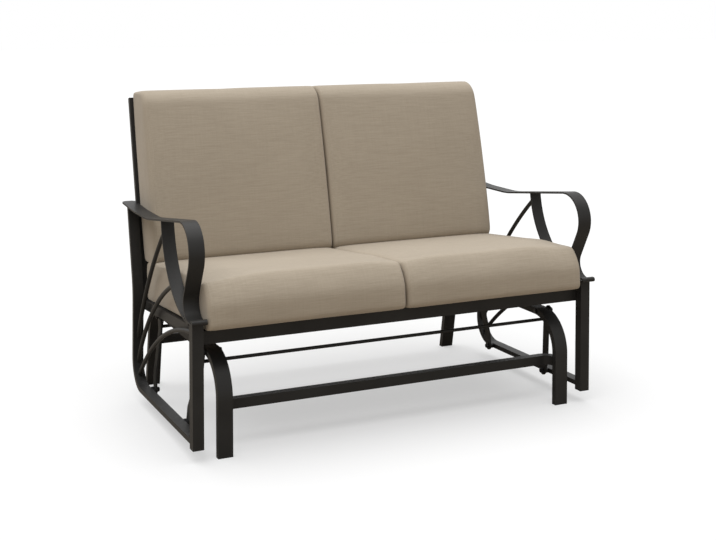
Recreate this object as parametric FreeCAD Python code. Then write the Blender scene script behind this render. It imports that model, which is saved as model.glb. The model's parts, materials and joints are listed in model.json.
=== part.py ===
# Two-seat glider bench with loose cushions.
# A low steel base of two arched side tubes carries four hanging links. The links carry the
# seat frame, so that the seat glides forwards and backwards above the floor.
# Millimetres. -Y is the front and +Z is up. Left in a name is the left of someone who looks
# at the bench from the front, which is -X.
# The pieces are drawn with Y measured backwards from the front faces of the front posts.
# The export moves them all, so that the origin is at the bottom centre of the bounding box.

import FreeCAD, Part
import math
import os

Vector = FreeCAD.Vector
X_AXIS = Vector(1, 0, 0)
CENTRE = Vector(0, 0, 0)

# Side frames that glide
HALF_WIDTH = 635.0              # middle of the bench to the outer faces of the side frames
SIDE_TUBE_WIDTH = 31.5          # posts, bottom rails and uprights, along X
TUBE_WALL = 1.5
POST_DEPTH = 28.8
POST_TOP = 376.0
POST_FOOT = 34.8                # height of the hanging foot of a front post
SIDE_TUBE_THICKNESS = 14.8      # bottom rails and uprights, across the tube
RAIL_HEIGHT_AT_FRONT = 55.8     # centre line of the bottom rail at Y = 0
RAIL_FALL = 0.0141              # fall of the bottom rail towards the rear
UPRIGHT_CORNER_Y = 625.5
RAIL_BEND_RADIUS = 80.0
UPRIGHT_KNEE = (613.0, 343.5)
UPRIGHT_KNEE_RADIUS = 300.0
UPRIGHT_TOP_Y = 673.0

# Arm straps
STRAP_WIDTH = 44.0
STRAP_THICKNESS = 5.0
ARM_LEVEL = 592.0               # centre line of the flat rear part
ARM_TIP = (727.0, 600.0)
ARM_TIP_BEND = (580.0, 700.0)   # Y and radius of the rear upturn
ARM_TIP_ROUNDING = 16.0         # corners of the rear end
ARM_RISE_BEND = (430.0, 420.0)  # Y and radius where the arm starts to rise
ARM_NOSE = (-58.7, 657.5)
ARM_NOSE_RADIUS = 79.0
ARM_FOOT_Y = 93.7
ARM_FOOT_RADIUS = 46.0
LIP_FRONT = -16.0               # centre line of the rolled front end
LIP_ROLL_HEIGHT = 8.6
LIP_ROLL_RADIUS = 4.2
LIP_END = -5.5

# Curved strap between the arm and the front post
BRACE_WIDTH = 38.0
BRACE_TOP_Y = 281.0
BRACE_CORNER = (252.3, 412.7)
BRACE_RADIUS = 270.0
BRACE_FOOT_HEIGHT = 368.0

# Thin bars of the side frames, each an arc through three points
BAR_DIAMETER = 13.0
UPPER_BAR = ((280.0, 598.0), (466.0, 419.0), (622.0, 184.0))
MIDDLE_BAR = ((200.0, 444.0), (424.0, 326.0), (622.0, 109.0))
LOWER_BAR = ((20.0, 345.5), (337.0, 262.0), (614.0, 65.5))

# Seat frame
SEAT_RAIL_TOP = 348.2
SEAT_RAIL_HEIGHT = 36.5
SEAT_RAIL_DEPTH = 20.0
SEAT_RAIL_LAP = 7.5             # how far the front rail reaches behind each post
SEAT_FALL = 0.07                # fall of the seat frame towards the rear
SIDE_RAIL_WIDTH = 20.0
SIDE_RAIL_HEIGHT = 28.0
REAR_RAIL_Y = 579.0
REAR_RAIL_HEIGHT = 20.0
SLAT_COUNT = 8
SLAT_WIDTH = 38.0
SLAT_THICKNESS = 3.0

# Back frame
BACK_LEAN = 14.2                # degrees
BACK_POST_Y = 617.0             # rear face of the back posts at BACK_POST_FOOT
BACK_POST_FOOT = 284.0
BACK_POST_TOP = 924.0
BACK_POST_DEPTH = 16.0
BACK_POST_WIDTH = 25.0
BACK_RAIL_HEIGHT = 25.0
BACK_LOWER_RAIL_RISE = 58.0     # foot of the back posts to the underside of the lower rail
BACK_BOLT_RISES = (100.0, 270.0)

# Fixed base
ARCH_TUBE_WIDTH = 42.5
ARCH_TUBE_THICKNESS = 18.3
ARCH_TOP = 275.0
ARCH_BEND_RADIUS = 120.0        # outside of the bends
FRONT_LEG_Y = 9.3               # front face of the front leg
REAR_LEG_Y = 731.9              # front face of the rear leg at the floor
REAR_LEG_SPLAY = 0.193
FOOT_PLATE = 3.0
FOOT_PLUG_LENGTH = 12.0
PLUG_CLEARANCE = 0.2
CROSS_TUBE_DEPTH = 25.0
CROSS_TUBE_HEIGHT = 28.0
FRONT_CROSS_BOTTOM = 115.0
FRONT_CROSS_SETBACK = 42.9      # leg's rear face to the middle of the front cross tube
FRONT_CROSS_BEND = 38.0
REAR_CROSS_BOTTOM = 138.5

# Hanging links and their pivots
LINK_WIDTH = 28.0
LINK_THICKNESS = 5.0
LINK_FOOT_INSET = 45.0          # outer face of a side frame to the middle of a link's foot
LINK_JOG = 23.0                 # how far a link's head stands inwards of its foot
ARCH_LINK_GAP = 3.3             # outer face of an arch to the link that hangs beside it
LINK_FLAT = 42.0                # straight part at each end of a link
FRONT_HANGER_Y = 122.3
REAR_HANGER_Y = 555.4
FRONT_STUD_Y = 186.0
REAR_STUD_Y = 525.6
PIVOT_DIAMETER = 8.0
PIVOT_CLEARANCE = 0.05
OPEN_PIVOT_CLEARANCE = 2.2      # rear lower eyes, where the four-bar loop stays open
ROD_DIAMETER = 10.0
ROD_DROP = 31.6                 # pivot to rod, along the link
SIDE_CLEARANCE = 0.3            # between a link and what it swings against
BOSS_DIAMETER = 20.0
WASHER_DIAMETER = 20.0
WASHER_THICKNESS = 1.6
NUT_WIDTH = 13.0
NUT_HEIGHT = 6.5
BOLT_HEAD_HEIGHT = 5.3
THREAD_PAST_NUT = 1.5

# Cushions
CUSHION_GAP = 0.6               # between the left and right cushions
CUSHION_SIDE_CLEARANCE = 0.6    # to the arms
CUSHION_SEAT_CLEARANCE = 0.5
SEAT_CUSHION_FRONT = -22.0
SEAT_CUSHION_REAR = 603.0
SEAT_CUSHION_THICKNESS = 119.0
SEAT_CUSHION_CROWN = 9.0
SEAT_CUSHION_FRONT_RISE = 12.0  # front top edge above the rear one
SEAT_CUSHION_FRONT_RADIUS = 56.0
SEAT_CUSHION_NOSE = 9.0         # bulge of the front edge
BACK_CUSHION_PAST_POSTS = 4.8   # top of the back posts to the top of the back cushions
BACK_CUSHION_THICKNESS = 128.0
BACK_CUSHION_CROWN = 15.0
BACK_CUSHION_EDGE = 6.0         # bulge of the top edge
BACK_CUSHION_RISE = 140.0       # foot of the back posts to the underside of the back cushions
CUSHION_SIDE_INSET = 18.0       # how far the sewn sides are drawn in
CUSHION_CORNER_RADIUS = 34.0
CUSHION_SIDE_POWER = 9.0        # higher keeps the cushion square closer to its sides
CUSHION_CROWN_POWER = 6.0
CUSHION_SECTIONS = 12


def box(x_low, x_high, y_low, y_high, z_low, z_high):
    corner = Vector(x_low, y_low, z_low)
    return Part.makeBox(x_high - x_low, y_high - y_low, z_high - z_low, corner)


def hollow_box(x_low, x_high, y_low, y_high, z_low, z_high, along):
    """A straight square-cut tube, open at both ends along X, Y or Z."""
    lows = [x_low, y_low, z_low]
    highs = [x_high, y_high, z_high]
    for axis in range(3):
        if "XYZ"[axis] != along:
            lows[axis] += TUBE_WALL
            highs[axis] -= TUBE_WALL
    bore = box(lows[0], highs[0], lows[1], highs[1], lows[2], highs[2])
    return box(x_low, x_high, y_low, y_high, z_low, z_high).cut(bore)


def rod(x_low, x_high, y, z, diameter):
    return Part.makeCylinder(diameter / 2, x_high - x_low, Vector(x_low, y, z), X_AXIS)


def mirrored(shape):
    return shape.mirror(CENTRE, X_AXIS)


def in_side_view(y, z):
    return Vector(0, y, z)


def in_top_view(x, y):
    return Vector(x, y, 0)


def in_front_view(x, z):
    return Vector(x, 0, z)


def shifted_path(path, distance):
    """A path of (a, b, bend radius) corners, moved to its left by a distance."""
    moved = []
    for index, (a, b, radius) in enumerate(path):
        point = Vector(a, b, 0)
        normals = []
        for first, second in ((index - 1, index), (index, index + 1)):
            if first >= 0 and second < len(path):
                start = Vector(path[first][0], path[first][1], 0)
                end = Vector(path[second][0], path[second][1], 0)
                heading = (end - start).normalize()
                normals.append(Vector(-heading.y, heading.x, 0))
        before = normals[0]
        after = normals[-1]
        point += (before + after) * (distance / (1 + before.dot(after)))
        turns_left = before.cross(after).z > 0
        if radius > 0:
            radius += -distance if turns_left else distance
        moved.append((point.x, point.y, radius))
    return moved


def path_edges(path, place):
    """Straight runs joined by tangent arcs at the corners that have a radius."""
    edges = []
    last = Vector(path[0][0], path[0][1], 0)
    for index in range(1, len(path) - 1):
        corner = Vector(path[index][0], path[index][1], 0)
        radius = path[index][2]
        before = Vector(path[index - 1][0], path[index - 1][1], 0)
        after = Vector(path[index + 1][0], path[index + 1][1], 0)
        back = (before - corner).normalize()
        ahead = (after - corner).normalize()
        half_angle = back.getAngle(ahead) / 2
        start = corner + back * (radius / math.tan(half_angle))
        end = corner + ahead * (radius / math.tan(half_angle))
        inward = (back + ahead).normalize()
        middle = corner + inward * (radius / math.sin(half_angle) - radius)
        if (start - last).Length > 0.001:
            edges.append(Part.LineSegment(place(last.x, last.y), place(start.x, start.y)).toShape())
        points = [place(point.x, point.y) for point in (start, middle, end)]
        edges.append(Part.Arc(*points).toShape())
        last = end
    tip = Vector(path[-1][0], path[-1][1], 0)
    edges.append(Part.LineSegment(place(last.x, last.y), place(tip.x, tip.y)).toShape())
    return edges


def band(path, thickness, place, start, width):
    """A flat bar of a given thickness along a bent path, extruded across the path's plane."""
    left = shifted_path(path, thickness / 2)
    right = shifted_path(path, -thickness / 2)
    closing_line = Part.LineSegment(place(*left[-1][:2]), place(*right[-1][:2])).toShape()
    opening_line = Part.LineSegment(place(*right[0][:2]), place(*left[0][:2])).toShape()
    edges = path_edges(left, place)
    edges.append(closing_line)
    edges += path_edges(right, place)
    edges.append(opening_line)
    outline = Part.Wire(Part.__sortEdges__(edges))
    across = place(1, 0).cross(place(0, 1)).normalize()
    face = Part.Face(outline)
    face.translate(across * start)
    return face.extrude(across * width)


def bent_tube(path, thickness, place, start, width):
    """A hollow rectangular tube along a bent path."""
    outside = band(path, thickness, place, start, width)
    inside_thickness = thickness - 2 * TUBE_WALL
    inside_width = width - 2 * TUBE_WALL
    inside = band(path, inside_thickness, place, start + TUBE_WALL, inside_width)
    return outside.cut(inside)


def plug(path, thickness, place, start, width):
    """The solid that fills the bore of a bent tube, less a clearance all round."""
    gap = TUBE_WALL + PLUG_CLEARANCE
    return band(path, thickness - 2 * gap, place, start + gap, width - 2 * gap)


def between_heights(shape, low, high):
    far = 2 * HALF_WIDTH
    return shape.common(box(-far, far, -far, far, low, high))


def prism(corners, start, width):
    """A flat-sided solid from an outline in the side view, extruded along X."""
    points = [Vector(start, y, z) for y, z in corners]
    points.append(points[0])
    return Part.Face(Part.makePolygon(points)).extrude(Vector(width, 0, 0))


def hexagon(x_low, height, y, z):
    """A hexagonal head or nut whose axis runs along X."""
    points = []
    for corner in range(7):
        angle = math.radians(60 * corner)
        reach = NUT_WIDTH / math.sqrt(3)
        points.append(Vector(x_low, y + reach * math.cos(angle), z + reach * math.sin(angle)))
    return Part.Face(Part.makePolygon(points)).extrude(Vector(height, 0, 0))


def turned_about_x(shape, degrees, y, z):
    turned = shape.copy()
    turned.rotate(Vector(0, y, z), X_AXIS, degrees)
    return turned


# Side frames

TUBE_INNER_X = HALF_WIDTH - SIDE_TUBE_WIDTH
TUBE_MIDDLE_X = HALF_WIDTH - SIDE_TUBE_WIDTH / 2
ARM_INNER_X = TUBE_MIDDLE_X - STRAP_WIDTH / 2


def rail_height(y):
    return RAIL_HEIGHT_AT_FRONT - RAIL_FALL * y


def arm_path():
    lip_height = POST_TOP + STRAP_THICKNESS / 2
    return [
        (ARM_TIP[0], ARM_TIP[1], 0),
        (ARM_TIP_BEND[0], ARM_LEVEL, ARM_TIP_BEND[1]),
        (ARM_RISE_BEND[0], ARM_LEVEL, ARM_RISE_BEND[1]),
        (ARM_NOSE[0], ARM_NOSE[1], ARM_NOSE_RADIUS),
        (ARM_FOOT_Y, lip_height, ARM_FOOT_RADIUS),
        (LIP_FRONT, lip_height, LIP_ROLL_RADIUS),
        (LIP_FRONT, lip_height + LIP_ROLL_HEIGHT, LIP_ROLL_RADIUS),
        (LIP_END, lip_height + LIP_ROLL_HEIGHT, 0),
    ]


def arm_strap():
    """The bent flat arm, notched round the back post that leans past its inner edge."""
    strap = band(arm_path(), STRAP_THICKNESS, in_side_view, ARM_INNER_X, STRAP_WIDTH)
    rear_end = ARM_TIP[0] - STRAP_THICKNESS
    corners = []
    for edge in strap.Edges:
        upright = abs(edge.tangentAt(edge.FirstParameter).x) < 0.001
        if upright and edge.BoundBox.YMin > rear_end and edge.Length < STRAP_THICKNESS + 0.1:
            corners.append(edge)
    strap = strap.makeFillet(ARM_TIP_ROUNDING, corners)
    return strap.cut(back_post_block())


def front_post():
    return hollow_box(TUBE_INNER_X, HALF_WIDTH, 0, POST_DEPTH, POST_FOOT + FOOT_PLATE, POST_TOP, "Z")


def post_foot_cap():
    gap = TUBE_WALL + PLUG_CLEARANCE
    plate = box(TUBE_INNER_X, HALF_WIDTH, 0, POST_DEPTH, POST_FOOT, POST_FOOT + FOOT_PLATE)
    insert = box(TUBE_INNER_X + gap, HALF_WIDTH - gap, gap, POST_DEPTH - gap,
                 POST_FOOT + FOOT_PLATE, POST_FOOT + FOOT_PLATE + FOOT_PLUG_LENGTH)
    return plate.fuse(insert).removeSplitter()


def side_tube_path():
    top = ARM_LEVEL + STRAP_THICKNESS
    return [
        (POST_DEPTH, rail_height(POST_DEPTH), 0),
        (UPRIGHT_CORNER_Y, rail_height(UPRIGHT_CORNER_Y), RAIL_BEND_RADIUS),
        (UPRIGHT_KNEE[0], UPRIGHT_KNEE[1], UPRIGHT_KNEE_RADIUS),
        (UPRIGHT_TOP_Y, top, 0),
    ]


def below_arm(shape):
    return between_heights(shape, 0, ARM_LEVEL - STRAP_THICKNESS / 2)


def side_tube():
    """The bottom rail and the rear upright, one bent tube from the post up to the arm."""
    tube = bent_tube(side_tube_path(), SIDE_TUBE_THICKNESS, in_side_view, TUBE_INNER_X, SIDE_TUBE_WIDTH)
    return below_arm(tube).cut(front_post_block())


def side_tube_block():
    return band(side_tube_path(), SIDE_TUBE_THICKNESS, in_side_view, TUBE_INNER_X, SIDE_TUBE_WIDTH)


def front_post_block():
    return box(TUBE_INNER_X, HALF_WIDTH, 0, POST_DEPTH, POST_FOOT, POST_TOP)


def above_arm_line():
    """The space above the underside of the arm's sloping part."""
    rise_y = ARM_RISE_BEND[0]
    slope = (ARM_NOSE[1] - ARM_LEVEL) / (ARM_NOSE[0] - rise_y)
    drop = STRAP_THICKNESS / 2 * math.sqrt(1 + slope ** 2)
    front = 0.0
    front_height = ARM_LEVEL + slope * (front - rise_y) - drop
    corners = [(front, front_height), (rise_y, ARM_LEVEL - drop),
               (rise_y, 2 * POST_TOP), (front, 2 * POST_TOP)]
    return prism(corners, 0, 2 * HALF_WIDTH)


def brace_path():
    return [
        (BRACE_TOP_Y + 2 * STRAP_THICKNESS, ARM_NOSE[1], 0),
        (BRACE_CORNER[0], BRACE_CORNER[1], BRACE_RADIUS),
        (POST_DEPTH / 2, BRACE_FOOT_HEIGHT, 0),
    ]


def brace_strap():
    """The curved strap from the underside of the arm down to the back of the post."""
    start = TUBE_MIDDLE_X - BRACE_WIDTH / 2
    strap = band(brace_path(), STRAP_THICKNESS, in_side_view, start, BRACE_WIDTH)
    behind_post = box(0, 2 * HALF_WIDTH, POST_DEPTH, HALF_WIDTH, 0, 2 * POST_TOP)
    return strap.cut(above_arm_line()).common(behind_post)


def thin_bar(points, *trimmed_by):
    """A round bar bent to one arc, cut off where it meets the pieces that it is welded to."""
    start, middle, end = [Vector(TUBE_MIDDLE_X, y, z) for y, z in points]
    arc = Part.Arc(start, middle, end)
    path = Part.Wire([arc.toShape()])
    circle = Part.makeCircle(BAR_DIAMETER / 2, start, arc.tangent(arc.FirstParameter)[0])
    bar = path.makePipeShell([Part.Wire([circle])], True, False)
    for piece in trimmed_by:
        bar = bar.cut(piece)
    return max(bar.Solids, key=lambda solid: solid.Volume)


def upper_bar():
    return thin_bar(UPPER_BAR, brace_strap(), above_arm_line(), side_tube_block())


def middle_bar():
    return thin_bar(MIDDLE_BAR, brace_strap(), side_tube_block())


def lower_bar():
    return thin_bar(LOWER_BAR, front_post_block(), side_tube_block())


# Seat frame

SIDE_RAIL_INNER_X = TUBE_INNER_X - SIDE_RAIL_WIDTH
SEAT_FRAME_FRONT = POST_DEPTH + SEAT_RAIL_DEPTH


def seat_height(y):
    """The top of the seat frame, where the cushions lie."""
    return SEAT_RAIL_TOP - SEAT_FALL * (y - SEAT_FRAME_FRONT)


def seat_front_rail():
    reach = TUBE_INNER_X + SEAT_RAIL_LAP
    return hollow_box(-reach, reach, POST_DEPTH, SEAT_FRAME_FRONT,
                      SEAT_RAIL_TOP - SEAT_RAIL_HEIGHT, SEAT_RAIL_TOP, "X")


def falling_bar(y_front, y_rear, inset, height, start, width):
    """A bar that falls with the seat, its top an inset below the seat's plane."""
    front = seat_height(y_front) - inset
    rear = seat_height(y_rear) - inset
    corners = [(y_front, front - height), (y_rear, rear - height), (y_rear, rear), (y_front, front)]
    return prism(corners, start, width)


def seat_side_rail():
    rear = BACK_POST_Y
    outside = falling_bar(SEAT_FRAME_FRONT, rear, 0, SIDE_RAIL_HEIGHT,
                          SIDE_RAIL_INNER_X, SIDE_RAIL_WIDTH)
    bore = falling_bar(SEAT_FRAME_FRONT, rear, TUBE_WALL, SIDE_RAIL_HEIGHT - 2 * TUBE_WALL,
                       SIDE_RAIL_INNER_X + TUBE_WALL, SIDE_RAIL_WIDTH - 2 * TUBE_WALL)
    trimmed = outside.cut(bore).cut(back_post_block())
    return max(trimmed.Solids, key=lambda solid: solid.Volume)


def seat_rear_rail():
    rear_y = REAR_RAIL_Y + SEAT_RAIL_DEPTH
    reach = SIDE_RAIL_INNER_X
    outside = falling_bar(REAR_RAIL_Y, rear_y, 0, REAR_RAIL_HEIGHT, -reach, 2 * reach)
    bore = falling_bar(REAR_RAIL_Y + TUBE_WALL, rear_y - TUBE_WALL, TUBE_WALL,
                       REAR_RAIL_HEIGHT - 2 * TUBE_WALL, -reach, 2 * reach)
    return outside.cut(bore)


def spread(count, width, reach):
    """The low X of evenly spaced slats between two rails."""
    gap = (2 * reach - count * width) / (count + 1)
    return [-reach + gap + index * (width + gap) for index in range(count)]


def seat_slats():
    slats = []
    for start in spread(SLAT_COUNT, SLAT_WIDTH, SIDE_RAIL_INNER_X):
        slats.append(falling_bar(SEAT_FRAME_FRONT, REAR_RAIL_Y, 0, SLAT_THICKNESS, start, SLAT_WIDTH))
    return Part.makeCompound(slats)


# Back frame. Its pieces are drawn upright, with their front at Y = 0 and their foot at Z = 0.

BACK_POST_INNER_X = TUBE_INNER_X - BACK_POST_WIDTH
BACK_POST_LENGTH = (BACK_POST_TOP - BACK_POST_FOOT) / math.cos(math.radians(BACK_LEAN))


def leaned_back(shape):
    """Leans an upright back piece and sets it on the foot of the back posts."""
    leaned = shape.copy()
    leaned.translate(Vector(0, BACK_POST_Y - BACK_POST_DEPTH, BACK_POST_FOOT))
    return turned_about_x(leaned, -BACK_LEAN, BACK_POST_Y, BACK_POST_FOOT)


def back_post_block():
    return leaned_back(box(BACK_POST_INNER_X, TUBE_INNER_X, 0, BACK_POST_DEPTH, 0, BACK_POST_LENGTH))


def back_bolt_hole(rise):
    return leaned_back(rod(0, TUBE_INNER_X + SIDE_TUBE_WIDTH / 2, BACK_POST_DEPTH / 2, rise,
                           PIVOT_DIAMETER + 2 * PIVOT_CLEARANCE))


def back_post():
    post = leaned_back(hollow_box(BACK_POST_INNER_X, TUBE_INNER_X, 0, BACK_POST_DEPTH,
                                  0, BACK_POST_LENGTH, "Z"))
    for rise in BACK_BOLT_RISES:
        post = post.cut(back_bolt_hole(rise))
    return post


def drilled_side_tube():
    tube = side_tube()
    for rise in BACK_BOLT_RISES:
        tube = tube.cut(back_bolt_hole(rise))
    return tube


def back_post_bolt(rise):
    """A bolt from inside the back post into the upright beside it."""
    y = BACK_POST_DEPTH / 2
    head = hexagon(BACK_POST_INNER_X - BOLT_HEAD_HEIGHT, BOLT_HEAD_HEIGHT, y, rise)
    shank = rod(BACK_POST_INNER_X, TUBE_MIDDLE_X - 2 * TUBE_WALL, y, rise, PIVOT_DIAMETER)
    return leaned_back(head.fuse(shank))


def back_rail(low):
    return leaned_back(hollow_box(-BACK_POST_INNER_X, BACK_POST_INNER_X, 0, BACK_POST_DEPTH,
                                  low, low + BACK_RAIL_HEIGHT, "X"))


def back_slats():
    low = BACK_LOWER_RAIL_RISE + BACK_RAIL_HEIGHT
    high = BACK_POST_LENGTH - BACK_RAIL_HEIGHT
    slats = []
    for start in spread(SLAT_COUNT, SLAT_WIDTH, BACK_POST_INNER_X):
        slats.append(leaned_back(box(start, start + SLAT_WIDTH, 0, SLAT_THICKNESS, low, high)))
    return Part.makeCompound(slats)


# Cushions. Each is drawn lying on its underside, from X = 0 outwards and from Y = 0 backwards.

CUSHION_REACH = ARM_INNER_X - CUSHION_SIDE_CLEARANCE


def cushion_section(x, inset, depth, thickness, crown, nose, rise, near_radius):
    """A closed outline of four bulging sides and four rounded corners at one X."""
    near = inset
    far = depth - inset
    low = inset
    high = thickness - inset
    near_high = high + rise
    radius = min(CUSHION_CORNER_RADIUS, (high - low) * 0.4)
    near_radius = min(near_radius, (near_high - low) * 0.52)
    diagonal = radius * (1 - math.sqrt(0.5))
    near_diagonal = near_radius * (1 - math.sqrt(0.5))
    middle_y = (near + far) / 2
    near_middle = (low + radius + near_high - near_radius) / 2
    points = [
        (near + near_radius, near_high), (middle_y, high + rise / 2 + crown), (far - radius, high),
        (far - diagonal, high - diagonal),
        (far, high - radius), (far + nose / 2, (low + high) / 2), (far, low + radius),
        (far - diagonal, low + diagonal),
        (far - radius, low), (near + radius, low),
        (near + diagonal, low + diagonal),
        (near, low + radius), (near - nose, near_middle), (near, near_high - near_radius),
        (near + near_diagonal, near_high - near_diagonal),
    ]
    points = [Vector(x, y, z) for y, z in points]
    underside = Part.LineSegment(points[8], points[9]).toShape()
    edges = []
    for start in (0, 2, 4, 6):
        edges.append(Part.Arc(*points[start:start + 3]).toShape())
    edges.append(underside)
    for start in (9, 11):
        edges.append(Part.Arc(*points[start:start + 3]).toShape())
    edges.append(Part.Arc(points[13], points[14], points[0]).toShape())
    return Part.Wire(edges)


def cushion(depth, thickness, crown, nose, rise, near_radius):
    """A stuffed cushion with a crowned top and drawn-in sides, lofted from side to side."""
    length = CUSHION_REACH - CUSHION_GAP / 2
    sections = []
    for index in range(CUSHION_SECTIONS + 1):
        from_middle = math.cos(math.pi * index / CUSHION_SECTIONS)
        x = CUSHION_REACH - length * (1 + from_middle) / 2
        inset = CUSHION_SIDE_INSET * abs(from_middle) ** CUSHION_SIDE_POWER
        fullness = 1 - abs(from_middle) ** CUSHION_CROWN_POWER
        full_crown = crown * fullness + 1
        full_nose = nose * fullness + 1
        sections.append(cushion_section(x, inset, depth, thickness, full_crown, full_nose,
                                        rise, near_radius))
    return Part.makeLoft(sections, True, False)


def seat_cushion():
    depth = SEAT_CUSHION_REAR - SEAT_CUSHION_FRONT
    soft = cushion(depth, SEAT_CUSHION_THICKNESS, SEAT_CUSHION_CROWN, SEAT_CUSHION_NOSE,
                   SEAT_CUSHION_FRONT_RISE, SEAT_CUSHION_FRONT_RADIUS)
    height = seat_height(SEAT_CUSHION_FRONT) + CUSHION_SEAT_CLEARANCE
    soft.translate(Vector(0, SEAT_CUSHION_FRONT, height))
    fall = math.degrees(math.atan(SEAT_FALL))
    return turned_about_x(soft, -fall, SEAT_CUSHION_FRONT, height)


def back_cushion():
    height = BACK_POST_LENGTH + BACK_CUSHION_PAST_POSTS - BACK_CUSHION_RISE
    soft = cushion(height, BACK_CUSHION_THICKNESS, BACK_CUSHION_CROWN, BACK_CUSHION_EDGE,
                   0, CUSHION_CORNER_RADIUS)
    standing = turned_about_x(soft, 90, 0, 0)
    standing.translate(Vector(0, -CUSHION_SEAT_CLEARANCE, BACK_CUSHION_RISE))
    return leaned_back(standing)


# Fixed base

LINK_FOOT_X = HALF_WIDTH - LINK_FOOT_INSET
LINK_TOP_X = LINK_FOOT_X - LINK_JOG
ARCH_OUTER_X = LINK_TOP_X - LINK_THICKNESS / 2 - ARCH_LINK_GAP
ARCH_INNER_X = ARCH_OUTER_X - ARCH_TUBE_WIDTH
ARCH_LEVEL = ARCH_TOP - ARCH_TUBE_THICKNESS / 2
FRONT_LEG_MIDDLE = FRONT_LEG_Y + ARCH_TUBE_THICKNESS / 2
FRONT_LEG_REAR = FRONT_LEG_Y + ARCH_TUBE_THICKNESS


def rear_leg_middle(z):
    """Y of the rear leg's centre line at a height."""
    across = ARCH_TUBE_THICKNESS / 2 * math.sqrt(1 + REAR_LEG_SPLAY ** 2)
    return REAR_LEG_Y + across - REAR_LEG_SPLAY * z


def arch_path():
    radius = ARCH_BEND_RADIUS - ARCH_TUBE_THICKNESS / 2
    below_floor = -ARCH_TUBE_THICKNESS
    return [
        (FRONT_LEG_MIDDLE, below_floor, 0),
        (FRONT_LEG_MIDDLE, ARCH_LEVEL, radius),
        (rear_leg_middle(ARCH_LEVEL), ARCH_LEVEL, radius),
        (rear_leg_middle(below_floor), below_floor, 0),
    ]


def hanger_hole(y):
    diameter = PIVOT_DIAMETER + 2 * PIVOT_CLEARANCE
    return rod(ARCH_INNER_X, ARCH_OUTER_X, y, ARCH_LEVEL, diameter)


def base_arch():
    tube = bent_tube(arch_path(), ARCH_TUBE_THICKNESS, in_side_view, ARCH_INNER_X, ARCH_TUBE_WIDTH)
    tube = between_heights(tube, FOOT_PLATE, ARCH_TOP)
    for y in (FRONT_HANGER_Y, REAR_HANGER_Y):
        tube = tube.cut(hanger_hole(y))
    return tube


def arch_foot_caps():
    """The two plastic end caps of one arch, front and rear."""
    outside = band(arch_path(), ARCH_TUBE_THICKNESS, in_side_view, ARCH_INNER_X, ARCH_TUBE_WIDTH)
    inside = plug(arch_path(), ARCH_TUBE_THICKNESS, in_side_view, ARCH_INNER_X, ARCH_TUBE_WIDTH)
    plates = between_heights(outside, 0, FOOT_PLATE).Solids
    inserts = between_heights(inside, FOOT_PLATE, FOOT_PLATE + FOOT_PLUG_LENGTH).Solids
    plates.sort(key=lambda solid: solid.CenterOfMass.y)
    inserts.sort(key=lambda solid: solid.CenterOfMass.y)
    return [plate.fuse(insert).removeSplitter() for plate, insert in zip(plates, inserts)]


def front_cross_tube():
    """The front stretcher, whose ends bend forwards into the backs of the front legs."""
    reach = ARCH_OUTER_X - ARCH_TUBE_WIDTH / 2
    middle = FRONT_LEG_REAR + FRONT_CROSS_SETBACK
    path = [
        (-reach, FRONT_LEG_REAR, 0),
        (-reach, middle, FRONT_CROSS_BEND),
        (reach, middle, FRONT_CROSS_BEND),
        (reach, FRONT_LEG_REAR, 0),
    ]
    return bent_tube(path, CROSS_TUBE_DEPTH, in_top_view, FRONT_CROSS_BOTTOM, CROSS_TUBE_HEIGHT)


def rear_cross_tube():
    middle = rear_leg_middle(REAR_CROSS_BOTTOM + CROSS_TUBE_HEIGHT / 2)
    half_depth = ARCH_TUBE_THICKNESS / 2
    return hollow_box(-ARCH_INNER_X, ARCH_INNER_X, middle - half_depth, middle + half_depth,
                      REAR_CROSS_BOTTOM, REAR_CROSS_BOTTOM + CROSS_TUBE_HEIGHT, "X")


# Links and pivots

def link_length():
    return math.hypot(FRONT_STUD_Y - FRONT_HANGER_Y, ARCH_LEVEL - rail_height(FRONT_STUD_Y))


def link_lean(hanger_y, stud_y):
    """Degrees that a link swings from hanging straight down to its place at rest."""
    return math.degrees(math.atan2(stud_y - hanger_y, ARCH_LEVEL - rail_height(stud_y)))


def link_outline(length):
    """A bar with round ends, drawn in the side view and wide enough to hold the joggle."""
    top_round = rod(LINK_TOP_X - LINK_WIDTH, LINK_FOOT_X + LINK_WIDTH, 0, 0, LINK_WIDTH)
    foot_round = top_round.copy()
    foot_round.translate(Vector(0, 0, -length))
    shank = box(LINK_TOP_X - LINK_WIDTH, LINK_FOOT_X + LINK_WIDTH,
                -LINK_WIDTH / 2, LINK_WIDTH / 2, -length, 0)
    return top_round.fuse(foot_round).fuse(shank)


def link(hanger_y, stud_y, foot_clearance):
    """A flat joggled bar with an eye at each end, hung from the arch and leaned to its stud."""
    length = math.hypot(stud_y - hanger_y, ARCH_LEVEL - rail_height(stud_y))
    path = [
        (LINK_TOP_X, LINK_WIDTH, 0),
        (LINK_TOP_X, -LINK_FLAT, LINK_FLAT / 2),
        (LINK_FOOT_X, LINK_FLAT - length, LINK_FLAT / 2),
        (LINK_FOOT_X, -length - LINK_WIDTH, 0),
    ]
    bar = band(path, LINK_THICKNESS, in_front_view, -LINK_WIDTH / 2, LINK_WIDTH)
    bar = bar.common(link_outline(length))
    top_eye = PIVOT_DIAMETER + 2 * PIVOT_CLEARANCE
    foot_eye = PIVOT_DIAMETER + 2 * foot_clearance
    bar = bar.cut(rod(0, HALF_WIDTH, 0, 0, top_eye))
    bar = bar.cut(rod(0, HALF_WIDTH, 0, -length, foot_eye))
    bar.translate(Vector(0, hanger_y, ARCH_LEVEL))
    return turned_about_x(bar, link_lean(hanger_y, stud_y), hanger_y, ARCH_LEVEL)


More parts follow.
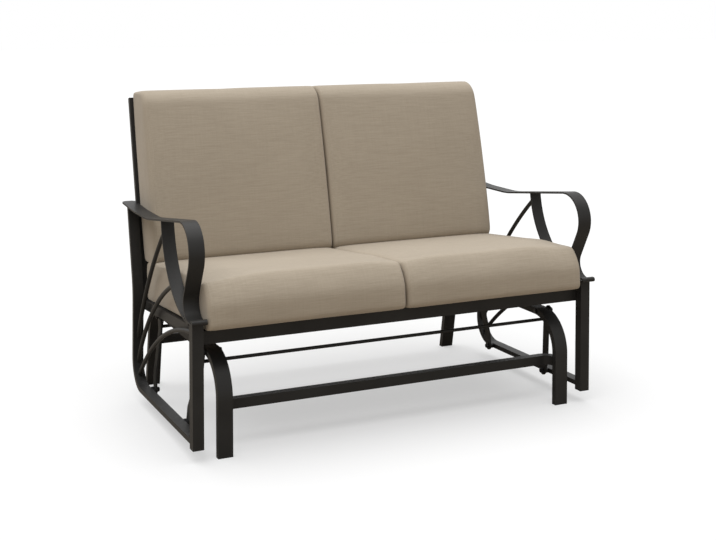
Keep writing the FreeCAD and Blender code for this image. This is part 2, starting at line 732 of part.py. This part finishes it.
def tie_rod(hanger_y, stud_y):
    """The thin rod that ties a left and a right link together under the arches."""
    lean = math.radians(link_lean(hanger_y, stud_y))
    y = hanger_y + ROD_DROP * math.sin(lean)
    z = ARCH_LEVEL - ROD_DROP * math.cos(lean)
    reach = LINK_TOP_X - LINK_THICKNESS / 2
    return rod(-reach, reach, y, z, ROD_DIAMETER)


def holed_washer(x_low, x_high, y, z, diameter):
    """A round washer or spacer on a pivot."""
    disc = rod(x_low, x_high, y, z, diameter)
    return disc.cut(rod(x_low, x_high, y, z, PIVOT_DIAMETER + 2 * PIVOT_CLEARANCE))


def nut(x_low, y, z):
    return hexagon(x_low, NUT_HEIGHT, y, z).cut(rod(x_low, x_low + NUT_HEIGHT, y, z, PIVOT_DIAMETER))


HANGER_SPACER_END = LINK_TOP_X - LINK_THICKNESS / 2 - SIDE_CLEARANCE
HANGER_WASHER_X = LINK_TOP_X + LINK_THICKNESS / 2 + SIDE_CLEARANCE
HANGER_NUT_X = HANGER_WASHER_X + WASHER_THICKNESS
BOSS_END_X = LINK_FOOT_X + LINK_THICKNESS / 2 + SIDE_CLEARANCE
STUD_WASHER_X = LINK_FOOT_X - LINK_THICKNESS / 2 - SIDE_CLEARANCE - WASHER_THICKNESS
STUD_NUT_X = STUD_WASHER_X - NUT_HEIGHT


def hanger_bolt(y):
    head = hexagon(ARCH_INNER_X - BOLT_HEAD_HEIGHT, BOLT_HEAD_HEIGHT, y, ARCH_LEVEL)
    end = HANGER_NUT_X + NUT_HEIGHT + THREAD_PAST_NUT
    return head.fuse(rod(ARCH_INNER_X, end, y, ARCH_LEVEL, PIVOT_DIAMETER))


def hanger_spacer(y):
    return holed_washer(ARCH_OUTER_X, HANGER_SPACER_END, y, ARCH_LEVEL, ARCH_TUBE_THICKNESS)


def hanger_washer(y):
    return holed_washer(HANGER_WASHER_X, HANGER_NUT_X, y, ARCH_LEVEL, WASHER_DIAMETER)


def hanger_nut(y):
    return nut(HANGER_NUT_X, y, ARCH_LEVEL)


def lower_stud(y):
    """A stud with a round boss, welded to the inner face of a bottom rail."""
    boss = rod(BOSS_END_X, TUBE_INNER_X, y, rail_height(y), BOSS_DIAMETER)
    shank = rod(STUD_NUT_X - THREAD_PAST_NUT, BOSS_END_X, y, rail_height(y), PIVOT_DIAMETER)
    return boss.fuse(shank)


def stud_washer(y):
    return holed_washer(STUD_WASHER_X, STUD_WASHER_X + WASHER_THICKNESS, y, rail_height(y), WASHER_DIAMETER)


def stud_nut(y):
    return nut(STUD_NUT_X, y, rail_height(y))


def on_both_sides(solids):
    """A compound of some solids on the +X side and their mirror images."""
    return Part.makeCompound(list(solids) + [mirrored(solid) for solid in solids])


HANGERS = (FRONT_HANGER_Y, REAR_HANGER_Y)
STUDS = (FRONT_STUD_Y, REAR_STUD_Y)

pieces = {}

# Pieces that come as a left and a right one
paired = {
    "front_post": front_post(),
    "side_tube": drilled_side_tube(),
    "arm_strap": arm_strap(),
    "brace_strap": brace_strap(),
    "upper_bar": upper_bar(),
    "middle_bar": middle_bar(),
    "lower_bar": lower_bar(),
    "seat_side_rail": seat_side_rail(),
    "back_post": back_post(),
    "seat_cushion": seat_cushion(),
    "back_cushion": back_cushion(),
    "base_arch": base_arch(),
    "front_link": link(FRONT_HANGER_Y, FRONT_STUD_Y, PIVOT_CLEARANCE),
    "rear_link": link(REAR_HANGER_Y, REAR_STUD_Y, OPEN_PIVOT_CLEARANCE),
}
for name, shape in paired.items():
    pieces["left_" + name] = mirrored(shape)
    pieces["right_" + name] = shape

# Pieces that cross the bench
pieces["seat_front_rail"] = seat_front_rail()
pieces["seat_rear_rail"] = seat_rear_rail()
pieces["seat_slats"] = seat_slats()
pieces["back_lower_rail"] = back_rail(BACK_LOWER_RAIL_RISE)
pieces["back_top_rail"] = back_rail(BACK_POST_LENGTH - BACK_RAIL_HEIGHT)
pieces["back_slats"] = back_slats()
pieces["front_cross_tube"] = front_cross_tube()
pieces["rear_cross_tube"] = rear_cross_tube()
pieces["front_tie_rod"] = tie_rod(FRONT_HANGER_Y, FRONT_STUD_Y)
pieces["rear_tie_rod"] = tie_rod(REAR_HANGER_Y, REAR_STUD_Y)

# Caps and fasteners
pieces["post_foot_caps"] = on_both_sides([post_foot_cap()])
pieces["arch_foot_caps"] = on_both_sides(arch_foot_caps())
pieces["back_post_bolts"] = on_both_sides([back_post_bolt(rise) for rise in BACK_BOLT_RISES])
pieces["hanger_bolts"] = on_both_sides([hanger_bolt(y) for y in HANGERS])
pieces["hanger_spacers"] = on_both_sides([hanger_spacer(y) for y in HANGERS])
pieces["hanger_washers"] = on_both_sides([hanger_washer(y) for y in HANGERS])
pieces["hanger_nuts"] = on_both_sides([hanger_nut(y) for y in HANGERS])
pieces["lower_studs"] = on_both_sides([lower_stud(y) for y in STUDS])
pieces["lower_stud_washers"] = on_both_sides([stud_washer(y) for y in STUDS])
pieces["lower_stud_nuts"] = on_both_sides([stud_nut(y) for y in STUDS])

bounds = Part.makeCompound(list(pieces.values())).optimalBoundingBox(False)
depth_centre = (bounds.YMin + bounds.YMax) / 2

os.makedirs("parts", exist_ok=True)
for name, shape in pieces.items():
    placed = shape.copy()
    placed.translate(Vector(0, -depth_centre, 0))
    placed.exportStep("parts/" + name + ".step")

print("nodes", len(pieces))
print("size", bounds.XLength, bounds.YLength, bounds.ZLength)
print("depth centre", depth_centre)
print("front and rear link lengths", link_length(),
      math.hypot(REAR_STUD_Y - REAR_HANGER_Y, ARCH_LEVEL - rail_height(REAR_STUD_Y)))
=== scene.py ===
# Two-seat glider bench: cushions, finishes, light and camera around the fixed CAD frame.
# Metres, +Z up, the front of the bench looks towards -Y, and left is the viewer's left (-X).
import json
import math

import bmesh
import bpy
from mathutils import Matrix, Vector


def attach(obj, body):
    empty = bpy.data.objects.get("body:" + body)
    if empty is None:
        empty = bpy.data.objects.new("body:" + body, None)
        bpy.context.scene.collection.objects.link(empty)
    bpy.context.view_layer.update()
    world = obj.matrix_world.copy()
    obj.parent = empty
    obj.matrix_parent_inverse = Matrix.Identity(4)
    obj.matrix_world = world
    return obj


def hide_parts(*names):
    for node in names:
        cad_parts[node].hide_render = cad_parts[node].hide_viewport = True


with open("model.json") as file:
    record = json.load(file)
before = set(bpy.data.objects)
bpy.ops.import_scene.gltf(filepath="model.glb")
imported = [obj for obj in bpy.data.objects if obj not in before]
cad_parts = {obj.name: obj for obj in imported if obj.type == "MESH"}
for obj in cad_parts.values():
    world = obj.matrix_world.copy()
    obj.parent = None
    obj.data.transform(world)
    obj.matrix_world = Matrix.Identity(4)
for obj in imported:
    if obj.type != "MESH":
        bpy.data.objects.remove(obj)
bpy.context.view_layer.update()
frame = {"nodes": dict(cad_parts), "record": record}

scene = bpy.context.scene
scene.view_settings.view_transform = "Standard"


# Sizes of the cushions and of their places, in metres

CUSHION_INNER_X = 0.0002        # half the gap between the left and right cushions
CUSHION_OUTER_X = 0.5965
SEAT_DEPTH = 0.624
SEAT_THICKNESS = 0.117
SEAT_FRONT_Y = -0.39364         # near edge of the seat cushions, at their underside
SEAT_FRONT_Z = 0.3560
SEAT_FALL = math.atan(0.07)     # the seat falls towards its rear
SEAT_FRONT_RISE = 0.024         # how much fuller the seat is towards its front
BACK_HEIGHT = 0.5245
BACK_THICKNESS = 0.126
BACK_FOOT_Y = 0.24164           # foot of the leaning back posts
BACK_FOOT_Z = 0.284
BACK_POST_DEPTH = 0.016
BACK_CUSHION_RISE = 0.1365      # from that foot up to the back cushions
BACK_LEAN = math.radians(14.2)
BACK_FRONT_DROP = 0.022         # how much lower its front edge reaches than its rear edge
CELL = 0.0105                   # spacing of the cloth's points
CORNER_STEPS = 4                # at least so many round a corner
SEAM_CELL = 0.0022              # spacing next to a seam
SEAM_DEPTH = 0.0012
SIDE_BULGE = 0.0012             # how far a side panel's middle stands out
SIDE_BULGE_POWER = 3
PANEL_RINGS = (0.16, 0.36, 0.56, 0.74, 0.90, 1.0)   # from the middle of a side panel to its rim
ROUND_STEPS = 6                 # rings round the edge of a side panel
DRAW_POWER = 3                  # higher draws in only the two ends of a side

# Zones of a cushion, each from where it starts to where it is full. They are shares of the half
# width, of the thickness or of the depth.

OUTER_END = (0.4, 1.0)
INNER_END = (0.6, 1.0)
UPPER_PART = (0.30, 1.0)
CREST_START = -0.02             # its shape says where the crest is full
NEAR_FALL = (0.36, 0.03)
NEAR_NOSE = (0.30, 0.0)
NEAR_DROP = (0.34, 0.0)
FAR_LIFT = (0.6, 1.0)

# Cloth

CLOTH_FRAMES = 20
CLOTH_PRESSURE = 2.0
PUFF_LIMIT = 0.0025
PUFF_SMOOTHING = 10             # how often the puffed cloth is evened out


# Small helpers

def smooth(low, high, value):
    """0 below low, 1 above high, and a soft step between them."""
    t = min(max((value - low) / (high - low), 0.0), 1.0)
    return t * t * (3 - 2 * t)


def hump(share):
    """0 at both ends and 1 in the middle."""
    return max(4 * share * (1 - share), 0.0)


def shade_smooth(mesh):
    for face in mesh.polygons:
        face.use_smooth = True


def link_object(name, mesh):
    made = bpy.data.objects.new(name, mesh)
    scene.collection.objects.link(made)
    return made


def apply_modifiers(made):
    """Replaces the object's mesh by what its modifiers make of it."""
    bpy.context.view_layer.update()
    graph = bpy.context.evaluated_depsgraph_get()
    mesh = bpy.data.meshes.new_from_object(made.evaluated_get(graph))
    made.modifiers.clear()
    old = made.data
    made.data = mesh
    bpy.data.meshes.remove(old)


# Cushions. A cushion is drawn lying on its underside: X across, Y from its front edge to its rear
# edge, Z through its thickness.

def corner(centre_y, centre_z, radius, start, end):
    """Points round one corner of the outline, from one angle to another."""
    steps = max(CORNER_STEPS, round(radius * abs(end - start) / CELL) + 1)
    points = []
    for index in range(steps + 1):
        angle = start + (end - start) * index / steps
        points.append((centre_y + radius * math.cos(angle), centre_z + radius * math.sin(angle)))
    return points


def outline(depth, thickness, radii, crease):
    """The closed outline of a cushion in its Y and Z, with even points, seen from its end.

    The crease is the angle at which the rounded near edge meets the top.
    """
    near_top, far_top, far_low, near_low = radii
    half = math.pi / 2
    turns = [
        corner(near_top, thickness - near_top * math.cos(crease), near_top, 2 * half, half + crease),
        corner(depth - far_top, thickness - far_top, far_top, half, 0),
        corner(depth - far_low, far_low, far_low, 0, -half),
        corner(near_low, near_low, near_low, -half, -2 * half),
    ]
    points = []
    for index, turn in enumerate(turns):
        points.extend(turn)
        start = turn[-1]
        end = turns[(index + 1) % len(turns)][0]
        length = math.dist(start, end)
        steps = max(1, round(length / CELL))
        for step in range(1, steps):
            share = step / steps
            points.append((start[0] + (end[0] - start[0]) * share,
                           start[1] + (end[1] - start[1]) * share))
    return points


def side_sections(half, side_round):
    """Distance from the middle, inset, closeness to the panel's rim and seam of one side's rings."""
    rings = [(half - SIDE_BULGE * share ** SIDE_BULGE_POWER, side_round, share, False)
             for share in PANEL_RINGS]
    centre = half - SIDE_BULGE - side_round
    for step in range(1, ROUND_STEPS + 1):
        angle = math.pi / 2 * step / ROUND_STEPS
        if step == ROUND_STEPS:
            angle = math.pi / 2 - SEAM_CELL / side_round
        inset = side_round - side_round * math.sin(angle)
        rings.append((centre + side_round * math.cos(angle), inset, 1.0, False))
    rings.append((centre, 0.0, 1.0, True))
    rings.append((centre - SEAM_CELL, 0.0, 1.0, False))
    return rings


def cushion_sections(width, inner_round, outer_round):
    """All rings of a cover from its inner side to its outer side."""
    half = width / 2
    inner = [(-x, inset, share, seam) for x, inset, share, seam in side_sections(half, inner_round)]
    outer = side_sections(half, outer_round)
    start = inner[-1][0]
    end = outer[-1][0]
    across = round((end - start) / CELL)
    flat = [(start + (end - start) * step / across, 0.0, 1.0, False) for step in range(1, across)]
    return inner + flat + outer[::-1]


def cushion_mesh(name, shape):
    """A sewn cover: one strip wrapped round the foam, and a panel at each side."""
    depth = shape["depth"]
    thickness = shape["thickness"]
    width = CUSHION_OUTER_X - CUSHION_INNER_X
    middle_x = (CUSHION_OUTER_X + CUSHION_INNER_X) / 2
    points = outline(depth, thickness, shape["radii"], shape["crease"])
    sections = cushion_sections(width, shape["inner_round"], shape["outer_round"])
    cover = bmesh.new()
    rings = []
    for x, inset, share, seam in sections:
        ring = []
        fullness = 1 - (1 - shape["edge_crown"]) * abs(2 * x / width) ** shape["crown_power"]
        outwards = smooth(*OUTER_END, 2 * x / width)
        inwards = smooth(*INNER_END, -2 * x / width)
        end_fall = shape["outer_fall"] * outwards + shape["inner_fall"] * inwards
        for y, z in points:
            along = y / depth
            up = z / thickness
            far_share = shape["far_under_share"] * (1 - up) + up
            y_in = y + inset * (shape["near_share"] * (1 - along) - far_share * along)
            z_in = z + inset * (shape["under_share"] * (1 - up) - shape["top_share"] * up)
            upper = smooth(*UPPER_PART, up)
            crown = shape["crown"] * fullness * hump(along) ** shape["crown_curve"]
            rise = shape["rise"] * (1 - along) * smooth(CREST_START, shape["crest"], along)
            fall = end_fall * smooth(*NEAR_FALL, along) * up * up
            nose = shape["nose"] * fullness * smooth(*NEAR_NOSE, along) * hump(up)
            drop = shape["drop"] * up * smooth(*NEAR_DROP, along)
            lift = shape["far_lift"] * (1 - up) * smooth(*FAR_LIFT, along)
            y_in += lift - drop - nose
            z_in += upper * (rise + crown) - fall
            y_in = depth / 2 + (y_in - depth / 2) * share
            z_in = thickness / 2 + (z_in - thickness / 2) * share
            x_in = x - shape["side_draw"] * outwards * abs(2 * along - 1) ** DRAW_POWER
            ring.append(cover.verts.new((middle_x + x_in, y_in, z_in)))
        rings.append(ring)
    count = len(points)
    for first, second in zip(rings, rings[1:]):
        for index in range(count):
            after = (index + 1) % count
            cover.faces.new((first[index], first[after], second[after], second[index]))
    for ring, side in ((rings[0], -1), (rings[-1], 1)):
        hub = cover.verts.new((middle_x + side * width / 2, depth / 2, thickness / 2))
        for index in range(count):
            after = (index + 1) % count
            corners = (ring[after], ring[index], hub) if side < 0 else (ring[index], ring[after], hub)
            cover.faces.new(corners)
    bmesh.ops.recalc_face_normals(cover, faces=cover.faces[:])
    mesh = bpy.data.meshes.new(name)
    cover.to_mesh(mesh)
    cover.free()
    seam_points = [number * count + index for number, section in enumerate(sections) if section[3]
                   for index in range(count)]
    return mesh, seam_points


def evened(mesh, moves):
    """The mean move of each point and of the points next to it."""
    totals = [move.copy() for move in moves]
    counts = [1] * len(moves)
    for edge in mesh.edges:
        first, second = edge.vertices
        totals[first] += moves[second]
        totals[second] += moves[first]
        counts[first] += 1
        counts[second] += 1
    return [total / count for total, count in zip(totals, counts)]


def puff(made):
    """Blows the cover up a little as cloth, and keeps each point near its start and in its space."""
    rest = [vertex.co.copy() for vertex in made.data.vertices]
    cloth = made.modifiers.new("Cloth", "CLOTH")
    settings = cloth.settings
    settings.quality = 6
    settings.mass = 0.4
    settings.tension_stiffness = 30
    settings.compression_stiffness = 30
    settings.shear_stiffness = 12
    settings.bending_stiffness = 6
    settings.use_pressure = True
    settings.uniform_pressure_force = CLOTH_PRESSURE
    settings.effector_weights.gravity = 0
    cloth.collision_settings.use_collision = False
    cloth.collision_settings.use_self_collision = False
    cloth.point_cache.frame_start = 1
    cloth.point_cache.frame_end = CLOTH_FRAMES
    for number in range(1, CLOTH_FRAMES + 1):
        scene.frame_set(number)
    apply_modifiers(made)
    scene.frame_set(1)
    moves = [vertex.co - start for vertex, start in zip(made.data.vertices, rest)]
    moves = [move * PUFF_LIMIT / (move.length + PUFF_LIMIT) for move in moves]
    for number in range(PUFF_SMOOTHING):
        moves = evened(made.data, moves)
    for vertex, start, move in zip(made.data.vertices, rest, moves):
        moved = start + move
        moved.x = min(max(moved.x, CUSHION_INNER_X), CUSHION_OUTER_X)
        moved.z = max(moved.z, 0.0)
        vertex.co = moved


def sew(mesh, seam_points):
    """Draws the seams in a little, all round both side panels."""
    inwards = [mesh.vertices[index].normal.copy() for index in seam_points]
    for index, normal in zip(seam_points, inwards):
        mesh.vertices[index].co -= normal * SEAM_DEPTH


def seat_place(mirror):
    """Turns and moves a seat cushion from its drawing to the seat frame."""
    place = Matrix.Translation((0, SEAT_FRONT_Y, SEAT_FRONT_Z)) @ Matrix.Rotation(-SEAT_FALL, 4, "X")
    return Matrix.Diagonal((mirror, 1, 1, 1)) @ place


def back_place(mirror):
    """Stands a back cushion up and leans it on the back frame."""
    upright = Matrix.Translation((0, 0, BACK_CUSHION_RISE)) @ Matrix.Rotation(math.pi / 2, 4, "X")
    forward = Matrix.Translation((0, -BACK_POST_DEPTH, 0))
    lean = Matrix.Rotation(-BACK_LEAN, 4, "X")
    foot = Matrix.Translation((0, BACK_FOOT_Y, BACK_FOOT_Z))
    return Matrix.Diagonal((mirror, 1, 1, 1)) @ foot @ lean @ forward @ upright


def turned_over(mesh):
    """Points the faces outwards again after mirroring."""
    turned = bmesh.new()
    turned.from_mesh(mesh)
    bmesh.ops.reverse_faces(turned, faces=turned.faces[:])
    turned.to_mesh(mesh)
    turned.free()


def make_cushion(kind, shape, place):
    mesh, seam_points = cushion_mesh(kind, shape)
    made = link_object("drawn_" + kind, mesh)
    puff(made)
    sew(made.data, seam_points)
    subdivided = made.modifiers.new("Subdivision", "SUBSURF")
    subdivided.levels = 1
    subdivided.render_levels = 1
    apply_modifiers(made)
    cushions = []
    for side, mirror in (("left", -1), ("right", 1)):
        body = made.data.copy()
        body.transform(place(mirror))
        if mirror < 0:
            turned_over(body)
        shade_smooth(body)
        cushion = link_object(side + "_" + kind + "_cover", body)
        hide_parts(side + "_" + kind)
        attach(cushion, "seat")
        cushions.append(cushion)
    bpy.data.objects.remove(made)
    return cushions


# A shape's radii belong to its near top, far top, far low and near low edges. Its shares say how
# much of a side's rounding each direction takes.

SEAT_SHAPE = {
    "depth": SEAT_DEPTH,
    "thickness": SEAT_THICKNESS,
    "radii": (0.064, 0.02, 0.012, 0.016),
    "crease": math.radians(24),     # angle between the rounded near edge and the top
    "inner_round": 0.015,           # rounding of the side that meets the other cushion
    "outer_round": 0.012,
    "near_share": 1.0,
    "top_share": 0.65,
    "under_share": 0.08,
    "far_under_share": 1.0,
    "side_draw": 0.0,               # how far the ends of the outer side are drawn in
    "crown": 0.002,                 # extra height in the middle
    "crown_power": 6,
    "crown_curve": 0.6,
    "edge_crown": 0.0,              # share of the crown that the sides keep
    "rise": SEAT_FRONT_RISE,        # extra height towards the near edge
    "crest": 0.07,                  # where that height is full
    "nose": 0.004,                  # bulge of the near side
    "drop": 0.0,                    # how far the top hangs past the near edge
    "far_lift": 0.0,                # how far the underside reaches past the far edge
    "outer_fall": 0.013,            # how much lower the near top is at each end
    "inner_fall": 0.007,
}
BACK_SHAPE = {
    "depth": BACK_HEIGHT,
    "thickness": BACK_THICKNESS,
    "radii": (0.031, 0.046, 0.014, 0.014),
    "crease": 0.0,
    "inner_round": 0.01,
    "outer_round": 0.016,
    "near_share": 0.5,
    "top_share": 1.0,
    "under_share": 0.3,
    "far_under_share": 0.35,
    "side_draw": 0.002,
    "crown": 0.018,
    "crown_power": 5,
    "crown_curve": 1.0,
    "edge_crown": 0.6,
    "rise": 0.0,
    "crest": 0.17,
    "nose": 0.0,
    "drop": BACK_FRONT_DROP,
    "far_lift": 0.018,
    "outer_fall": 0.0,
    "inner_fall": 0.0,
}
seat_cushions = make_cushion("seat_cushion", SEAT_SHAPE, seat_place)
back_cushions = make_cushion("back_cushion", BACK_SHAPE, back_place)


# Finishes

CLOTH_DARK = (0.375, 0.317, 0.244)
CLOTH_LIGHT = (0.455, 0.390, 0.306)
CLOTH_CONTRAST = (0.37, 0.63)   # the weave's range between the two tones
PAINT_DARK = (0.022, 0.0214, 0.0204)
PAINT_LIGHT = (0.029, 0.0281, 0.0268)
PLASTIC_DARK = (0.008, 0.008, 0.008)
PLASTIC_LIGHT = (0.013, 0.013, 0.013)
STEEL_DARK = (0.012, 0.012, 0.013)
STEEL_LIGHT = (0.020, 0.020, 0.021)
COAT_CONTRAST = (0.3, 0.7)
GLOSS_CHANGE = 0.14             # how much the roughness of a coat varies

# The weave's noises: scale along each axis, detail, and the share of the weave

SLUBS = ((14, 420, 420), 3.0, 0.46)
THREADS = ((90, 1300, 1300), 1.0, 0.22)
WARP = ((700, 12, 12), 2.0, 0.20)
PATCHES = ((4, 6, 6), 1.0, 0.12)
GRAIN_SCALE = (900, 900, 900)   # a coat's orange peel
TONE_SCALE = (11, 11, 11)       # its changes of tone and gloss


def new_material(name):
    material = bpy.data.materials.new(name)
    material.use_nodes = True
    nodes = material.node_tree.nodes
    shader = nodes["Principled BSDF"]
    return material, nodes, material.node_tree.links, shader


def stretched_noise(nodes, links, scale, detail):
    """Noise in the object's own space, with its own scale along each axis."""
    place = nodes.new("ShaderNodeTexCoord")
    stretch = nodes.new("ShaderNodeMapping")
    stretch.inputs["Scale"].default_value = scale
    noise = nodes.new("ShaderNodeTexNoise")
    noise.inputs["Scale"].default_value = 1.0
    noise.inputs["Detail"].default_value = detail
    links.new(place.outputs["Object"], stretch.inputs["Vector"])
    links.new(stretch.outputs["Vector"], noise.inputs["Vector"])
    return noise.outputs["Fac"]


def combine(nodes, links, operation, first, second):
    made = nodes.new("ShaderNodeMath")
    made.operation = operation
    for socket, value in zip(made.inputs, (first, second)):
        if isinstance(value, (int, float)):
            socket.default_value = value
        else:
            links.new(value, socket)
    return made.outputs[0]


def two_tone(nodes, links, factor, dark, light, low, high):
    """A colour between two tones, driven by a factor that runs from low to high."""
    ramp = nodes.new("ShaderNodeValToRGB")
    ramp.color_ramp.elements[0].position = low
    ramp.color_ramp.elements[0].color = (*dark, 1)
    ramp.color_ramp.elements[1].position = high
    ramp.color_ramp.elements[1].color = (*light, 1)
    links.new(factor, ramp.inputs["Fac"])
    return ramp.outputs["Color"]


def weighted(nodes, links, scale, detail, weight):
    """Stretched noise that counts for a share of the whole weave."""
    return combine(nodes, links, "MULTIPLY", stretched_noise(nodes, links, scale, detail), weight)


def woven_cloth():
    """Taupe outdoor cloth with a fine slub: long faint threads across, shorter ones along."""
    material, nodes, links, shader = new_material("taupe_slub_cloth")
    slubs = weighted(nodes, links, *SLUBS)
    threads = weighted(nodes, links, *THREADS)
    warp = weighted(nodes, links, *WARP)
    patches = weighted(nodes, links, *PATCHES)
    cross = combine(nodes, links, "ADD", slubs, threads)
    along = combine(nodes, links, "ADD", warp, patches)
    weave = combine(nodes, links, "ADD", cross, along)
    colour = two_tone(nodes, links, weave, CLOTH_DARK, CLOTH_LIGHT, *CLOTH_CONTRAST)
    links.new(colour, shader.inputs["Base Color"])
    bump = nodes.new("ShaderNodeBump")
    bump.inputs["Strength"].default_value = 0.35
    bump.inputs["Distance"].default_value = 0.0006
    links.new(cross, bump.inputs["Height"])
    links.new(bump.outputs["Normal"], shader.inputs["Normal"])
    shader.inputs["Roughness"].default_value = 0.92
    shader.inputs["Specular IOR Level"].default_value = 0.2
    shader.inputs["Sheen Weight"].default_value = 0.18
    shader.inputs["Sheen Roughness"].default_value = 0.5
    return material


def coat(name, dark, light, roughness, specular):
    """A satin surface with fine orange peel, and with slight changes of tone and gloss."""
    material, nodes, links, shader = new_material(name)
    shader.inputs["Specular IOR Level"].default_value = specular
    grain = stretched_noise(nodes, links, GRAIN_SCALE, 2.0)
    tone = stretched_noise(nodes, links, TONE_SCALE, 3.0)
    colour = two_tone(nodes, links, tone, dark, light, *COAT_CONTRAST)
    links.new(colour, shader.inputs["Base Color"])
    change = combine(nodes, links, "MULTIPLY", tone, GLOSS_CHANGE)
    gloss = combine(nodes, links, "ADD", change, roughness - GLOSS_CHANGE / 2)
    links.new(gloss, shader.inputs["Roughness"])
    bump = nodes.new("ShaderNodeBump")
    bump.inputs["Strength"].default_value = 0.25
    bump.inputs["Distance"].default_value = 0.0004
    links.new(grain, bump.inputs["Height"])
    links.new(bump.outputs["Normal"], shader.inputs["Normal"])
    return material


cloth_finish = woven_cloth()
paint_finish = coat("dark_bronze_powder_coat", PAINT_DARK, PAINT_LIGHT, roughness=0.43, specular=0.18)
cap_finish = coat("black_moulded_plastic", PLASTIC_DARK, PLASTIC_LIGHT, roughness=0.50, specular=0.3)
steel_finish = coat("black_plated_steel", STEEL_DARK, STEEL_LIGHT, roughness=0.32, specular=0.4)

FINISHES = {
    "frame_paint": paint_finish,
    "cap_plastic": cap_finish,
    "fastener_steel": steel_finish,
    "outdoor_fabric": cloth_finish,
}

for cushion in seat_cushions + back_cushions:
    cushion.data.materials.clear()
    cushion.data.materials.append(cloth_finish)

for part in frame["record"]["subparts"]:
    node = frame["nodes"][part["node"]]
    for place in node.material_slots:
        place.link = "OBJECT"
        place.material = FINISHES[part["material_slot"]]


# Floor, light and camera

FLOOR_SIZE = 60
FLOOR_BOUNCE = (0.38, 0.33, 0.27)   # the floor's colour to everything but the camera
FLOOR_SEEN = 0.44               # what the camera sees is this share of the light on the floor
FLOOR_GLOW = 0.48               # and this much more
SKY_STRENGTH = 0.40             # for diffuse light; the camera and glossy rays see a white sky
SKY_SEEN = 1.0
SUN_STRENGTH = 2.95
SUN_ANGLE = math.radians(80)
SUN_PLACE = (-0.5, 0.1, 4.0)
CAMERA_PLACE = (-1.608, -3.52776, 1.2258)
CAMERA_YAW = 24.81              # degrees to the right
CAMERA_PITCH = 2.57             # degrees down
FOCAL_PIXELS = 1246.4
SENSOR_WIDTH = 36               # millimetres
IMAGE_WIDTH = 716
IMAGE_HEIGHT = 540
PRINCIPAL_Y = 60.34             # where the camera's axis meets the image, from its top


def studio_floor():
    """White to the camera where it is lit, with the bench's soft shadow on it."""
    material, nodes, links, shader = new_material("studio_floor")
    output = nodes["Material Output"]
    nodes.remove(shader)
    seen = nodes.new("ShaderNodeLightPath")
    plain = nodes.new("ShaderNodeBsdfDiffuse")
    plain.inputs["Color"].default_value = (*FLOOR_BOUNCE, 1)
    lit = nodes.new("ShaderNodeBsdfDiffuse")
    lit.inputs["Color"].default_value = (FLOOR_SEEN, FLOOR_SEEN, FLOOR_SEEN, 1)
    glow = nodes.new("ShaderNodeEmission")
    glow.inputs["Strength"].default_value = FLOOR_GLOW
    bright = nodes.new("ShaderNodeAddShader")
    links.new(lit.outputs["BSDF"], bright.inputs[0])
    links.new(glow.outputs["Emission"], bright.inputs[1])
    choose = nodes.new("ShaderNodeMixShader")
    links.new(seen.outputs["Is Camera Ray"], choose.inputs["Fac"])
    links.new(plain.outputs["BSDF"], choose.inputs[1])
    links.new(bright.outputs["Shader"], choose.inputs[2])
    links.new(choose.outputs["Shader"], output.inputs["Surface"])
    return material


bpy.ops.mesh.primitive_plane_add(size=FLOOR_SIZE, location=(0, 0, 0))
floor = bpy.context.object
floor.name = "floor"
floor.data.materials.append(studio_floor())

world = bpy.data.worlds.new("studio")
scene.world = world
world.use_nodes = True
world_nodes = world.node_tree.nodes
world_links = world.node_tree.links
background = world_nodes["Background"]
background.inputs["Color"].default_value = (1, 1, 1, 1)
rays = world_nodes.new("ShaderNodeLightPath")
shown = rays.outputs["Is Camera Ray"]
for kind in ("Is Transmission Ray", "Is Glossy Ray"):
    larger = world_nodes.new("ShaderNodeMath")
    larger.operation = "MAXIMUM"
    world_links.new(shown, larger.inputs[0])
    world_links.new(rays.outputs[kind], larger.inputs[1])
    shown = larger.outputs[0]
strength = world_nodes.new("ShaderNodeMapRange")
strength.inputs["To Min"].default_value = SKY_STRENGTH
strength.inputs["To Max"].default_value = SKY_SEEN
world_links.new(shown, strength.inputs["Value"])
world_links.new(strength.outputs["Result"], background.inputs["Strength"])

sun = bpy.data.lights.new("overhead", "SUN")
sun.energy = SUN_STRENGTH
sun.angle = SUN_ANGLE
overhead = bpy.data.objects.new("overhead", sun)
overhead.location = SUN_PLACE
overhead.rotation_euler = (-Vector(SUN_PLACE)).to_track_quat("-Z", "Y").to_euler()
scene.collection.objects.link(overhead)

lens = bpy.data.cameras.new("camera")
lens.sensor_width = SENSOR_WIDTH
lens.lens = FOCAL_PIXELS / IMAGE_WIDTH * lens.sensor_width
lens.shift_y = -(IMAGE_HEIGHT / 2 - PRINCIPAL_Y) / IMAGE_WIDTH
camera = bpy.data.objects.new("camera", lens)
camera.location = CAMERA_PLACE
camera.rotation_euler = (math.radians(90 - CAMERA_PITCH), 0, math.radians(-CAMERA_YAW))
scene.collection.objects.link(camera)
scene.camera = camera
